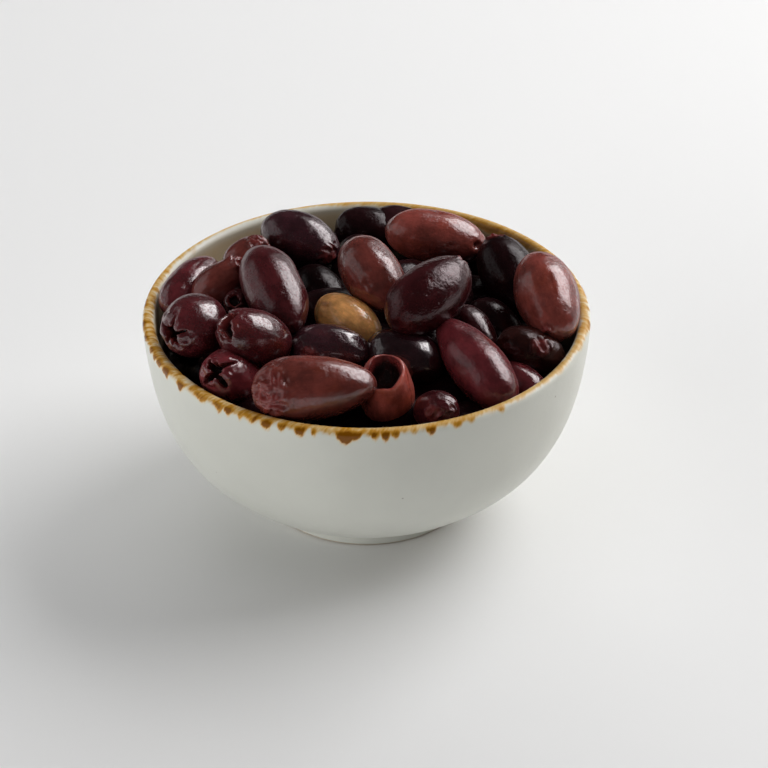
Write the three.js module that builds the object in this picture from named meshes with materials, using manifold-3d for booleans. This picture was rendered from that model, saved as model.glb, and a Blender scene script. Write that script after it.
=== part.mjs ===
// A glazed stoneware bowl heaped with large dark olives.
// Millimetres, +Z up. The origin is the centre of the foot, on the surface the bowl stands on.
// The heap is one solid: a low mound in the bowl with every olive that shows fused to it.

import * as THREE from "three";
import { mergeVertices } from "three/addons/utils/BufferGeometryUtils.js";
import Module from "manifold-3d";

// ---------------------------------------------------------------- driving dimensions

const BOWL_DIAMETER = 115;
const BOWL_HEIGHT = 55.5;
const LIP_THICKNESS = 3.2;
const FOOT_DIAMETER = 56.8;
const FOOT_HEIGHT = 4.5;
const FOOT_WIDTH = 3.8;
const FOOT_BEVEL = 0.5;
const FOOT_NECK = 0.2;
const FOOT_FLARE = 0.6;
const FOOT_FLARE_HEIGHT = 1.2;
const RECESS_HEIGHT = 2.6;
const RECESS_SLOPE = 1.4;
const FLOOR_HEIGHT = 8;
const FLOOR_RADIUS = 20;

// Where the wall's curve is pulled to: distance from the axis, height.
const OUTER_BELLY = [46.7, 14.2];
const OUTER_SHOULDER = [55.9, 22];
const INNER_SHOULDER = [52.6, 22];
const INNER_BELLY = [44, 9.2];

const BOWL_SIDES = 56;
const WALL_STEPS = 9;
const LIP_STEPS = 5;

const MOUND_GAP = 0.5;
const MOUND_EDGE_HEIGHT = 46;
const MOUND_TOP_HEIGHT = 56;
const MOUND_ROUNDING = 3;
const MOUND_STEPS = 5;
const MOUND_SIDES = 40;

// Flat facets cut inside a round olive; this much wider, they lie half outside it and half inside.
const FACET_ALLOWANCE = 1.02;
const OLIVE_SIDES = 12;
const OLIVE_RINGS = 8;
const OLIVE_FULLNESS = 2.2;
const POINTED_TAPER = 0.22;
const PLAIN_TAPER = 0.06;
const PIT_SIDES = 8;
const PIT_NARROWING = 0.8;
const PIT_CLEARANCE = 3;
const pits = {
  pitted: { radius: 3.8, depth: 9 },
  torn: { radius: 3.3, depth: 4.5 },
  nick: { radius: 1.7, depth: 2.5 },
};

// ---------------------------------------------------------------- colours

const glaze = new THREE.MeshStandardMaterial({ color: 0xdbdbd0, roughness: 0.25, metalness: 0 });
const oliveSkin = new THREE.MeshStandardMaterial({ color: 0x421a1e, roughness: 0.2, metalness: 0 });

// ---------------------------------------------------------------- the bowl

const bowlRadius = BOWL_DIAMETER / 2;
const footRadius = FOOT_DIAMETER / 2;
const lipRadius = LIP_THICKNESS / 2;
const lipCentreRadius = bowlRadius - lipRadius;
const lipCentreHeight = BOWL_HEIGHT - lipRadius;

// From the top of the foot, out round the belly and up a nearly straight wall.
const outerWall = new THREE.CubicBezierCurve(
  new THREE.Vector2(footRadius + FOOT_FLARE, FOOT_HEIGHT),
  new THREE.Vector2(...OUTER_BELLY),
  new THREE.Vector2(...OUTER_SHOULDER),
  new THREE.Vector2(bowlRadius, lipCentreHeight),
);

// From the lip down the inside to the flat of the floor.
const innerWall = new THREE.CubicBezierCurve(
  new THREE.Vector2(bowlRadius - LIP_THICKNESS, lipCentreHeight),
  new THREE.Vector2(...INNER_SHOULDER),
  new THREE.Vector2(...INNER_BELLY),
  new THREE.Vector2(FLOOR_RADIUS, FLOOR_HEIGHT),
);

function lipArc() {
  const points = [];
  for (let step = 1; step < LIP_STEPS; step += 1) {
    const angle = (Math.PI * step) / LIP_STEPS;
    const across = lipCentreRadius + lipRadius * Math.cos(angle);
    const up = lipCentreHeight + lipRadius * Math.sin(angle);
    points.push(new THREE.Vector2(across, up));
  }
  return points;
}

// The foot is a ring: its underside is flat, and the bowl's base inside it is raised clear.
function footOutline() {
  const innerFoot = footRadius - FOOT_WIDTH;
  return [
    new THREE.Vector2(0, RECESS_HEIGHT),
    new THREE.Vector2(innerFoot - RECESS_SLOPE, RECESS_HEIGHT),
    new THREE.Vector2(innerFoot, FOOT_BEVEL),
    new THREE.Vector2(innerFoot + FOOT_BEVEL, 0),
    new THREE.Vector2(footRadius - FOOT_BEVEL, 0),
    new THREE.Vector2(footRadius, FOOT_BEVEL),
    new THREE.Vector2(footRadius - FOOT_NECK, FOOT_HEIGHT - FOOT_FLARE_HEIGHT),
  ];
}

// Turns an outline drawn as (distance from the axis, height) about the vertical axis.
function turned(outline, sides) {
  const geometry = new THREE.LatheGeometry(outline, sides);
  geometry.rotateX(Math.PI / 2);
  return geometry;
}

function bowlGeometry() {
  const outline = [
    ...footOutline(),
    ...outerWall.getPoints(WALL_STEPS),
    ...lipArc(),
    ...innerWall.getPoints(WALL_STEPS),
    new THREE.Vector2(0, FLOOR_HEIGHT),
  ];
  return turned(outline, BOWL_SIDES);
}

// ---------------------------------------------------------------- the olives

// Each olive is set by its centre, the way its marked end points (heading round the bowl from +X,
// lean above the level), its length, its width and what that end is like. A pitted end has the
// round hole of the pitting tool, a torn one a shallow ragged hole, a nick one a small one, and a
// pointed one a drawn-out tip.
const olives = [
  // round the back of the heap
  { at: [-17.8, 28, 59.4], heading: -22, lean: -12, length: 22, width: 14.2, end: "plain" },
  { at: [-0.8, 41.8, 54.8], heading: 4, lean: 0, length: 16, width: 12.6, end: "plain" },
  { at: [8.9, 43, 54.2], heading: -16, lean: -5, length: 17, width: 12.4, end: "plain" },
  { at: [18.1, 28.5, 59.7], heading: -6, lean: -8, length: 27, width: 14.3, end: "nick" },
  { at: [37.6, 14.5, 55.5], heading: -64, lean: -27, length: 25, width: 14.8, end: "plain" },
  { at: [-31.5, 19.5, 58.5], heading: 30, lean: 30, length: 14, width: 10.5, end: "plain" },
  { at: [-20, 40.5, 48], heading: 26, lean: 5, length: 22, width: 13, end: "plain" },
  { at: [-37, 27, 46.5], heading: 54, lean: -5, length: 21, width: 12, end: "plain" },
  { at: [26.5, 37, 49], heading: -35, lean: 6, length: 21, width: 13, end: "plain" },
  { at: [40.5, 23.5, 46], heading: 120, lean: 4, length: 20, width: 12, end: "plain" },
  // the left side
  { at: [-45.9, 9.5, 56], heading: 62, lean: 8, length: 23, width: 11.6, end: "plain" },
  { at: [-37.6, 4, 60.2], heading: 30, lean: 25, length: 16.5, width: 10.2, end: "plain" },
  { at: [-42.8, -17.5, 60.3], heading: -130, lean: 13, length: 17.3, width: 15.8, end: "torn" },
  { at: [-32.3, -3.6, 58.3], heading: -105, lean: 38, length: 14, width: 7.5, end: "nick" },
  { at: [-27.6, -24, 61], heading: -150, lean: 36, length: 21.5, width: 14.3, end: "torn" },
  { at: [-33.8, -31, 54], heading: -115, lean: 38, length: 17.5, width: 13.8, end: "torn" },
  // the middle
  { at: [-23.2, -7, 64.4], heading: -68, lean: -15, length: 29.3, width: 15, end: "plain" },
  { at: [1.5, 0.3, 64.9], heading: -60, lean: -17, length: 23.5, width: 15, end: "plain" },
  { at: [15.7, -12.5, 66.3], heading: 45, lean: 11, length: 26.5, width: 16.2, end: "plain" },
  { at: [-4.4, -10.4, 56.7], heading: -41, lean: -12, length: 20, width: 12.6, end: "plain" },
  { at: [-8.8, -21.2, 55.8], heading: -4, lean: -7, length: 20.5, width: 12.2, end: "plain" },
  { at: [9.9, -22, 53.8], heading: -12, lean: -9, length: 20.5, width: 14.3, end: "plain" },
  { at: [-11.6, 11.2, 51.2], heading: -53, lean: -27, length: 20.5, width: 13, end: "plain" },
  // the right side
  { at: [46, -3.2, 60], heading: -77, lean: -20, length: 27, width: 15.8, end: "plain" },
  { at: [33.3, 1.3, 47.5], heading: -41, lean: -32, length: 18.5, width: 13, end: "plain" },
  { at: [27.2, -8, 52.8], heading: -53, lean: -22, length: 17, width: 9.8, end: "plain" },
  { at: [41.4, -16, 52], heading: -10, lean: -15, length: 17.5, width: 11.6, end: "plain" },
  { at: [26.8, -27.6, 56.1], heading: 123, lean: 16, length: 31, width: 13.3, end: "pointed" },
  { at: [38.6, -24.6, 47.2], heading: -40, lean: -10, length: 14.5, width: 10.4, end: "plain" },
  // the front
  { at: [5.3, -36.2, 52.6], heading: -100, lean: 68, length: 29, width: 13.4, end: "pitted" },
  { at: [-12.2, -42.7, 58.5], heading: 2, lean: 3, length: 30, width: 15.6, end: "pointed" },
  { at: [17.2, -42, 51.4], heading: -43, lean: 31, length: 12.2, width: 9.6, end: "plain" },
  // lower ones that show between the others
  { at: [8.5, 15, 53], heading: 35, lean: 0, length: 21, width: 13, end: "plain" },
  { at: [-3, 27, 53], heading: 80, lean: 5, length: 20, width: 12.5, end: "plain" },
  { at: [21, 10.5, 53], heading: 105, lean: -5, length: 18, width: 12.5, end: "plain" },
  { at: [-25, -38, 44.5], heading: -30, lean: -8, length: 18, width: 11.5, end: "plain" },
  { at: [-45.7, -5, 50], heading: 95, lean: 0, length: 16, width: 11, end: "plain" },
  { at: [-33, -15, 50.5], heading: 30, lean: 10, length: 20, width: 13, end: "plain" },
  { at: [-13, -32, 48], heading: 20, lean: 0, length: 20, width: 12.5, end: "plain" },
  { at: [25, -38.5, 45], heading: 35, lean: 0, length: 18, width: 11.5, end: "plain" },
  { at: [44, -9, 45], heading: -80, lean: 0, length: 18, width: 11, end: "plain" },
  { at: [-25.5, 18.5, 51], heading: 75, lean: 0, length: 21, width: 12.5, end: "plain" },
  { at: [-10, 2, 52.5], heading: 20, lean: 0, length: 19, width: 12.5, end: "plain" },
];

// The outline runs along the olive's length, here the Y axis, from the blunt end to the marked end.
function oliveGeometry({ length, width, end }) {
  const taper = end === "pointed" ? POINTED_TAPER : PLAIN_TAPER;
  const outline = [];
  for (let ring = 0; ring <= OLIVE_RINGS; ring += 1) {
    const along = -Math.cos((Math.PI * ring) / OLIVE_RINGS);
    const roundness = Math.sqrt(Math.max(0, 1 - Math.abs(along) ** OLIVE_FULLNESS));
    const radius = (width / 2) * FACET_ALLOWANCE * roundness * (1 - taper * along);
    outline.push(new THREE.Vector2(radius, (along * length) / 2));
  }
  outline[0].x = 0;
  outline[OLIVE_RINGS].x = 0;
  return new THREE.LatheGeometry(outline, OLIVE_SIDES);
}

// The hole starts beyond the marked end and goes in along the length.
function pitGeometry({ length, end }) {
  const { radius, depth } = pits[end];
  const drill = depth + PIT_CLEARANCE;
  const geometry = new THREE.CylinderGeometry(radius, radius * PIT_NARROWING, drill, PIT_SIDES);
  geometry.translate(0, length / 2 + PIT_CLEARANCE - drill / 2, 0);
  return geometry;
}

// Lays the Y axis of a geometry along the olive's heading and lean, and moves it into place.
function laidInHeap(geometry, { at, heading, lean }) {
  geometry.rotateZ(-Math.PI / 2);
  geometry.rotateY(-THREE.MathUtils.degToRad(lean));
  geometry.rotateZ(THREE.MathUtils.degToRad(heading));
  geometry.translate(...at);
  return geometry;
}

// ---------------------------------------------------------------- the mound under the olives

// It fills the bowl, a small gap from the wall, and rises in a low dome.
function moundGeometry() {
  const outline = [new THREE.Vector2(0, MOUND_TOP_HEIGHT)];
  const wallPoints = innerWall.getPoints(WALL_STEPS).filter((point) => point.y < MOUND_EDGE_HEIGHT);
  const edgeRadius = wallPoints[0].x - MOUND_GAP;
  for (let step = 1; step < MOUND_STEPS; step += 1) {
    const outward = step / MOUND_STEPS;
    const drop = (MOUND_TOP_HEIGHT - wallPoints[0].y) * outward ** MOUND_ROUNDING;
    outline.push(new THREE.Vector2(edgeRadius * outward, MOUND_TOP_HEIGHT - drop));
  }
  for (const point of wallPoints) {
    outline.push(new THREE.Vector2(point.x - MOUND_GAP, point.y + MOUND_GAP));
  }
  outline.push(new THREE.Vector2(0, FLOOR_HEIGHT + MOUND_GAP));
  return turned(outline.reverse(), MOUND_SIDES);
}

// ---------------------------------------------------------------- joining and cutting

const MERGE_DISTANCE = 1e-4;
const manifoldLibrary = await Module();
manifoldLibrary.setup();

function toSolid(geometry) {
  geometry.deleteAttribute("normal");
  geometry.deleteAttribute("uv");
  const merged = mergeVertices(geometry, MERGE_DISTANCE);
  const mesh = new manifoldLibrary.Mesh({
    numProp: 3,
    vertProperties: new Float32Array(merged.attributes.position.array),
    triVerts: new Uint32Array(merged.index.array),
  });
  return new manifoldLibrary.Manifold(mesh);
}

function toGeometry(solid) {
  const mesh = solid.getMesh();
  const geometry = new THREE.BufferGeometry();
  geometry.setAttribute("position", new THREE.BufferAttribute(mesh.vertProperties, 3));
  geometry.setIndex(new THREE.BufferAttribute(mesh.triVerts, 1));
  geometry.computeVertexNormals();
  return geometry;
}

function oliveSolid(olive) {
  const body = toSolid(laidInHeap(oliveGeometry(olive), olive));
  if (!(olive.end in pits)) {
    return body;
  }
  return body.subtract(toSolid(laidInHeap(pitGeometry(olive), olive)));
}

// Of the fused solid only the outermost closed skin is kept: a hollow shut in between olives is filled.
function heapGeometry() {
  let heap = toSolid(moundGeometry());
  for (const olive of olives) {
    heap = heap.add(oliveSolid(olive));
  }
  const skins = heap.decompose();
  skins.sort((one, other) => other.volume() - one.volume());
  return toGeometry(skins[0]);
}

// ---------------------------------------------------------------- the finished dish

const dish = new THREE.Group();

const bowl = new THREE.Mesh(bowlGeometry(), glaze);
bowl.name = "bowl";
dish.add(bowl);

const heap = new THREE.Mesh(heapGeometry(), oliveSkin);
heap.name = "olives";
dish.add(heap);

export default dish;
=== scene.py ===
"""A glazed stoneware bowl heaped with large dark olives.

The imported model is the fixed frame. This script stands the finished bowl and the olives in the
place of its solids, and adds the floor, the light and the camera. Blender's sizes are metres.
Sizes with a name that ends in _MM, and those of the olives, the brushwork and the lumps of noise,
are millimetres.
"""

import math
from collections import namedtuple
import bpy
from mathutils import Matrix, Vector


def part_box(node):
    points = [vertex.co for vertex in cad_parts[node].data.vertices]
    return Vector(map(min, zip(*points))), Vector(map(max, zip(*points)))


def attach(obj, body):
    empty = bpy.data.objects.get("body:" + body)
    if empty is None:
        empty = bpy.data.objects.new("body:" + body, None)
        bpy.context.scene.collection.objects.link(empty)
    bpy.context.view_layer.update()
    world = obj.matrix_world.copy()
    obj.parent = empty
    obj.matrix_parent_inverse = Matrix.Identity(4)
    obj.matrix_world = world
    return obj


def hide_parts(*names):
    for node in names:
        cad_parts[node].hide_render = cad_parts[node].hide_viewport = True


bl_info = {
    "name": "Dish of Olives",
    "version": (1, 0, 0),
    "blender": (4, 5, 0),
    "location": "View3D > Sidebar > Olives",
    "description": "A stoneware bowl with a brushed brown rim, heaped with dark olives",
    "category": "Object",
}

import bpy
import numpy as np
from mathutils import Vector, noise

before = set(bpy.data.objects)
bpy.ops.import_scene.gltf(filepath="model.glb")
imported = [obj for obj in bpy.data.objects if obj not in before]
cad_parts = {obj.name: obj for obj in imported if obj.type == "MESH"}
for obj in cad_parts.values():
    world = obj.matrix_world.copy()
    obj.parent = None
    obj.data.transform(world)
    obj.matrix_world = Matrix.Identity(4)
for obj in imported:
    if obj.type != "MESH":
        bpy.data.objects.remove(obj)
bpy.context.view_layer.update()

BOWL_LOW, BOWL_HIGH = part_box("bowl")
BODY = "root"
MM = 0.001


# ---------------------------------------------------------------- colours and settings


def paint(red, green, blue):
    """A colour given as it looks on a screen, 0 to 255, as the linear colour that shaders use."""
    shares = [channel / 255 for channel in (red, green, blue)]
    return tuple(share / 12.92 if share <= 0.04045 else ((share + 0.055) / 1.055) ** 2.4 for share in shares)


def colour_setting(name, description, colour):
    return bpy.props.FloatVectorProperty(
        name=name, description=description, default=colour, size=3, min=0.0, max=1.0, subtype="COLOR"
    )


def length_setting(name, description, size):
    return bpy.props.FloatProperty(name=name, description=description, default=size, min=0.0, unit="LENGTH")


def strength_setting(name, description, strength):
    return bpy.props.FloatProperty(name=name, description=description, default=strength, min=0.0)


class BowlSettings(bpy.types.PropertyGroup):
    """Sizes and colours of the bowl."""

    diameter: length_setting("Diameter", "Across the lip, outside", BOWL_HIGH.x - BOWL_LOW.x)
    height: length_setting("Height", "From the foot to the top of the lip", BOWL_HIGH.z)
    lip: length_setting("Lip", "Thickness of the rounded lip", 3.2 * MM)
    foot: length_setting("Foot", "Diameter of the foot ring", 56.8 * MM)
    glaze: colour_setting("Glaze", "Body colour of the glaze", paint(222, 223, 214))
    speck: colour_setting("Specks", "Small iron specks in the glaze", paint(120, 104, 84))
    clay: colour_setting("Clay", "Bare clay under the foot", paint(196, 180, 156))
    brushed: colour_setting("Brushed rim", "The brown where it is thickest", paint(128, 76, 0))
    amber: colour_setting("Amber", "The brown at its usual thickness", paint(194, 138, 44))
    thinned: colour_setting("Thin brown", "The brown where it is thin", paint(215, 180, 119))
    cream: colour_setting("Cream", "The lip where the brown has all but run off it", paint(226, 207, 173))
    stain: colour_setting("Stain", "Faint brown clouds on the inside of the wall", paint(198, 164, 110))
    # Painted shade: the near-black laid on the inside of the wall below the lip, where the rim and the
    # olives shade it.
    painted_shade: colour_setting("Painted_shade", "The dark juice that wets the inside", paint(44, 26, 22))


class OliveSettings(bpy.types.PropertyGroup):
    """Colours and surface of the olives."""

    red_brown: colour_setting("Red-brown", "Skin of the riper red olives", paint(104, 48, 42))
    plum: colour_setting("Plum", "Skin of the purple olives", paint(79, 28, 32))
    black: colour_setting("Black", "Skin of the darkest olives", paint(44, 20, 25))
    tan: colour_setting("Tan", "Skin of the one pale olive", paint(168, 120, 72))
    # Painted shade: the lower skin is near black for the shadow on the olives low in the heap, on a few at
    # the back that lie in shade, and on the core.
    below: colour_setting("Lower", "Skin of the olives low in the heap", paint(34, 15, 17))
    rust: colour_setting("Rust", "Warmer blotches on the skins", paint(124, 50, 28))
    flesh: colour_setting("Flesh", "Torn flesh at the pit holes", paint(134, 52, 50))
    gleam: colour_setting("Gleam", "Tint of the light that the skins mirror", paint(255, 236, 240))
    wrinkle: length_setting("Wrinkle", "Height of the long fine wrinkles", 0.10 * MM)
    lopsided: length_setting("Lopsided", "How far an olive strays from a true oval", 0.40 * MM)


class StageSettings(bpy.types.PropertyGroup):
    """The floor, the light and the camera."""

    floor: colour_setting("Floor", "Colour of the floor", paint(241, 241, 241))
    floor_width: length_setting("Floor width", "Side of the square floor", 16.0)
    brightness: strength_setting("Brightness", "Share of the lights' set brightness", 1.0)
    sky: strength_setting("Sky", "Strength of the light from all round", 0.03)


# ---------------------------------------------------------------- shaders


def arithmetic(operation, swapped=False):
    """An operator of Wire that adds one Math node."""

    def method(self, other):
        first, second = (other, self) if swapped else (self, other)
        return self.finish.add("ShaderNodeMath", {"operation": operation}, {0: first, 1: second})

    return method


class Wire:
    """A node's output, which Python arithmetic turns into Math nodes."""

    def __init__(self, finish, socket):
        self.finish = finish
        self.socket = socket

    __add__ = arithmetic("ADD")
    __radd__ = arithmetic("ADD", swapped=True)
    __sub__ = arithmetic("SUBTRACT")
    __rsub__ = arithmetic("SUBTRACT", swapped=True)
    __mul__ = arithmetic("MULTIPLY")
    __rmul__ = arithmetic("MULTIPLY", swapped=True)

    def between(self, low, high):
        """Rises smoothly from 0 at low to 1 at high."""
        sockets = {"Value": self, "From Min": low, "From Max": high}
        return self.finish.add("ShaderNodeMapRange", {"interpolation_type": "SMOOTHSTEP"}, sockets)


class Finish:
    """A material or a world, built one node at a time."""

    MIX_FACTOR, MIX_FIRST, MIX_SECOND, MIX_RESULT = 0, 6, 7, 2

    def __init__(self, owner):
        owner.use_nodes = True
        self.owner = owner
        self.tree = owner.node_tree
        self.tree.nodes.clear()

    def add(self, kind, settings, sockets, output=0):
        """Adds one node: its settings first, then the value or the link of each socket."""
        node = self.tree.nodes.new(kind)
        for name, value in settings.items():
            if name == "stops":
                self.set_stops(node.color_ramp.elements, value)
            else:
                setattr(node, name, value)
        for name, value in sockets.items():
            if isinstance(value, Wire):
                self.tree.links.new(value.socket, node.inputs[name])
            else:
                node.inputs[name].default_value = value
        return Wire(self, node.outputs[output]) if node.outputs else None

    @staticmethod
    def set_stops(elements, stops):
        """Gives a new ramp its stops, each a place from 0 to 1 and a colour."""
        elements.remove(elements[-1])
        elements[0].position, elements[0].color = stops[0][0], (*stops[0][1], 1.0)
        for place, colour in stops[1:]:
            elements.new(place).color = (*colour, 1.0)

    def attribute(self, name, output="Fac"):
        return self.add("ShaderNodeAttribute", {"attribute_name": name}, {}, output)

    def stretched(self, place, scale):
        """The place with each axis multiplied by its own scale."""
        return self.add("ShaderNodeVectorMath", {"operation": "MULTIPLY"}, {0: place, 1: scale})

    def cloud(self, place, scale, detail=2.0, roughness=0.5):
        """Soft noise from 0 to 1, with scale lumps for each unit of place."""
        sockets = {"Vector": place, "Scale": scale, "Detail": detail, "Roughness": roughness}
        return self.add("ShaderNodeTexNoise", {}, sockets)

    def spots(self, place, scale):
        """The distance to the nearest of many scattered points."""
        return self.add("ShaderNodeTexVoronoi", {}, {"Vector": place, "Scale": scale}, "Distance")

    def mixed(self, share, first, second):
        """The first colour where share is 0 and the second where it is 1."""
        colours = [value if isinstance(value, Wire) else (*value, 1.0) for value in (first, second)]
        sockets = {self.MIX_FACTOR: share, self.MIX_FIRST: colours[0], self.MIX_SECOND: colours[1]}
        return self.add("ShaderNodeMix", {"data_type": "RGBA"}, sockets, self.MIX_RESULT)

    def ramp(self, share, stops):
        """The colour that the stops give for a share."""
        return self.add("ShaderNodeValToRGB", {"stops": stops}, {"Fac": share}, "Color")

    def scaled(self, colour, factor):
        """A colour made lighter or darker."""
        return self.add("ShaderNodeVectorMath", {"operation": "SCALE"}, {0: colour, "Scale": factor})

    def relief(self, height, distance):
        """The normal of a surface that rises by distance where height is 1."""
        sockets = {"Height": height, "Distance": distance, "Strength": 1.0}
        return self.add("ShaderNodeBump", {}, sockets, "Normal")

    def surface(self, sockets):
        shader = self.add("ShaderNodeBsdfPrincipled", {}, sockets)
        self.add("ShaderNodeOutputMaterial", {}, {"Surface": shader})
        return self.owner


def scaled_colour(colour, factor):
    return tuple(min(1.0, channel * factor) for channel in colour)


def glaze_finish(settings):
    """Greenish white satin glaze with iron brown brushed over the lip, painted shade on the inside below it,
    and bare clay under the foot.

    The distances below the lip, the brush's reach and the height are all millimetres.
    """
    made = Finish(bpy.data.materials.new("stoneware_glaze"))
    place = made.add("ShaderNodeTexCoord", {}, {}, "Object")
    place_mm = made.stretched(place, (1 / MM, 1 / MM, 1 / MM))
    height_mm = made.add("ShaderNodeSeparateXYZ", {}, {0: place_mm}, "Z")

    clouds = made.cloud(place_mm, 0.035, 3.0)
    body = made.mixed(clouds.between(0.3, 0.75), settings.glaze, scaled_colour(settings.glaze, 0.93))
    speck = made.spots(place_mm, 0.09).between(0.032, 0.016)
    body = made.mixed(speck * 0.55, body, settings.speck)

    below, reach, load, dashes, inside, wetted = map(made.attribute, (
        "below_lip", "brush_reach", "brush_load", "brush_dashes", "inside", "wetted",
    ))
    brush_place = made.attribute("brush_place", "Vector")
    streaks = made.cloud(brush_place, 0.6, 2.0, 0.5)
    strands = made.cloud(brush_place, 1.6, 2.0, 0.5)
    left_over = reach + (streaks - 0.5) * (0.6 + dashes * 1.3) - below
    covered = left_over.between(-0.8, 0.6)
    upper_run = below.between(0.3, 1.9) * 0.45
    lower_run = below.between(1.8, 3.6) * 0.35
    run_down = (0.1 + upper_run + lower_run) * left_over.between(-0.1, 1.5)
    broken = ((streaks - 0.5) * 2.4 + (strands - 0.5) * 1.2) * dashes
    thickness = covered * (0.23 + run_down * load * 1.1 + broken * 0.42)
    thin_to_thick = [
        (0.0, settings.cream), (0.22, settings.thinned), (0.46, settings.amber), (0.85, settings.brushed),
    ]
    body = made.mixed(covered, body, made.ramp(thickness, thin_to_thick))
    stain = made.cloud(place_mm, 0.11, 3.0).between(0.56, 0.74) * inside * below.between(9.0, 2.0)
    body = made.mixed(stain * 0.55, body, settings.stain)
    # The inside of the wall is tinted towards the stain's colour, more so further below the lip.
    inside_tint = below.between(0.0, 4.5) * inside
    body = made.mixed(inside_tint * 0.7, body, settings.stain)
    # Painted shade: below the lip, the inside of the wall goes near black, where the rim and the olives
    # shade it.
    painted_shade = (wetted + (streaks - 0.5) * 4.0).between(0.0, 4.5) * inside
    body = made.mixed(painted_shade * 0.85, body, settings.painted_shade)

    bare = height_mm.between(0.75, 0.35)
    body = made.mixed(bare, body, settings.clay)
    ripple = made.cloud(place_mm, 0.22, 2.0)
    pores = made.cloud(place_mm, 1.4, 2.0)
    relief = made.relief(ripple * 0.7 + pores * 0.12 + thickness * 0.3, 0.12 * MM)
    sockets = {
        "Base Color": body,
        "Roughness": 0.34 + (clouds - 0.5) * 0.12 + bare * 0.4 - covered * 0.1,
        "IOR": 1.5,
        "Specular IOR Level": 0.3,
        "Normal": relief,
    }
    return made.surface(sockets)


def skin_finish(name, colour, settings, gloss, soft):
    """Wet olive skin: mottled, with a fine grain that breaks up its gloss, and small drops."""
    made = Finish(bpy.data.materials.new(name))
    place = made.attribute("own_place", "Vector")
    shade, warm, wet, torn = map(made.attribute, ("own_shade", "own_warm", "own_wet", "torn"))

    mottle = made.cloud(place, 0.2, 4.0, 0.6)
    blotch = made.cloud(place, 0.085, 3.0, 0.55)
    lengthways = made.stretched(place, (0.3, 1.0, 1.0))
    veins = made.cloud(lengthways, 1.1, 3.0, 0.6)
    depth = (mottle * 0.8 + veins * 0.3).between(0.35, 0.78)
    skin = made.mixed(depth, scaled_colour(colour, 0.6), scaled_colour(colour, 1.35))
    skin = made.mixed((blotch + warm - 0.5).between(0.1, 0.6) * 0.8, skin, settings.rust)
    freckle = made.spots(place, 0.7).between(0.13, 0.05)
    skin = made.mixed(freckle * 0.25, skin, scaled_colour(colour, 2.6))
    # Each olive's skin made lighter or darker: partly its own tone, partly painted light and shade for how
    # it lies in the heap.
    skin = made.scaled(skin, shade)
    flesh_and_bore_shade = made.mixed(mottle.between(0.4, 0.65), settings.flesh, scaled_colour(settings.flesh, 0.45))
    # Painted shade: the torn flesh goes near black down the bore of a hole.
    flesh_and_bore_shade = made.scaled(flesh_and_bore_shade, 1 - torn.between(1.02, 1.4) * 0.95)
    skin = made.mixed(torn.between(0.15, 0.85), skin, flesh_and_bore_shade)

    dents = made.cloud(place, 0.34, 2.0)
    grain = made.cloud(place, 1.5, 5.0, 0.68)
    pores = made.spots(place, 1.7)
    patches = made.cloud(place, 0.24, 2.0).between(0.54, 0.66)
    drops = made.spots(place, 0.62).between(0.2, 0.02) * patches
    height = dents * 0.8 + grain * (0.22 + torn * 0.5) + veins * 0.12 + pores * 0.07 + drops * 0.35
    relief = made.relief(height, 0.36 * MM)
    edge = made.add("ShaderNodeLayerWeight", {}, {"Blend": 0.5}, "Facing").between(0.55, 0.95)
    sockets = {
        "Base Color": skin,
        "Roughness": 0.1 + (mottle - 0.5) * 0.1 + edge * 0.4,
        "IOR": 1.5,
        "Specular IOR Level": 0.6 * gloss,
        "Specular Tint": (*settings.gleam, 1.0),
        "Coat Weight": ((grain - 0.5) * 5 + 0.8).between(0.0, 1.2) * (1 - edge) * gloss * wet,
        "Coat Roughness": 0.06,
        "Coat IOR": 1.5,
        "Subsurface Weight": soft,
        "Subsurface Scale": 2.0 * MM,
        "Normal": relief,
    }
    return made.surface(sockets)


def floor_finish(colour):
    """Plain pale studio paper."""
    made = Finish(bpy.data.materials.new("studio_paper"))
    place = made.add("ShaderNodeTexCoord", {}, {}, "Object")
    clouds = made.cloud(place, 1.5, 2.0)
    tone = made.mixed(clouds.between(0.3, 0.7), colour, scaled_colour(colour, 0.985))
    return made.surface({"Base Color": tone, "Roughness": 0.8, "Specular IOR Level": 0.2})


# ---------------------------------------------------------------- meshes


# A kind of smooth noise: how far across its lumps are, and its seed. One seed's noise is taken this
# far, in lumps, from the last one's.
Lumps = namedtuple("Lumps", "size seed")
SEED_SHIFT = 7.31


def rough(places, lumps, seed=0):
    """Smooth noise from about -1 to 1 at each place."""
    moved = (places / lumps.size + (seed + lumps.seed) * SEED_SHIFT).reshape(-1, 3)
    return np.array([noise.noise(place) for place in moved.tolist()]).reshape(places.shape[:-1])


def outward(grid):
    """The unit normal at each point of a grid whose columns close on themselves."""
    along = np.gradient(grid, axis=0)
    across = np.roll(grid, -1, axis=1) - np.roll(grid, 1, axis=1)
    normal = np.cross(along, across)
    return normal / np.maximum(np.linalg.norm(normal, axis=-1, keepdims=True), 1e-12)


def closed_skin(first, grid, last):
    """Points and faces of a closed form: a pole, rows of points round an axis, and a pole."""
    rows, columns = grid.shape[:2]
    points = np.vstack([[first], grid.reshape(-1, 3), [last]])
    number = 1 + np.arange(rows * columns).reshape(rows, columns)
    following = np.roll(number, -1, axis=1)
    walls = np.stack([number[:-1], number[1:], following[1:], following[:-1]], -1).reshape(-1, 4)
    start = [(0, one, other) for one, other in zip(number[0].tolist(), following[0].tolist())]
    end_pole = rows * columns + 1
    end = [(one, end_pole, other) for one, other in zip(number[-1].tolist(), following[-1].tolist())]
    return points, start + walls.tolist() + end


def with_poles(values):
    """Values of a grid's rows and columns as one list, with the nearest row's mean at each pole."""
    first, last = values[0].mean(axis=0), values[-1].mean(axis=0)
    return np.concatenate([[first], values.reshape(-1, *values.shape[2:]), [last]])


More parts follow.
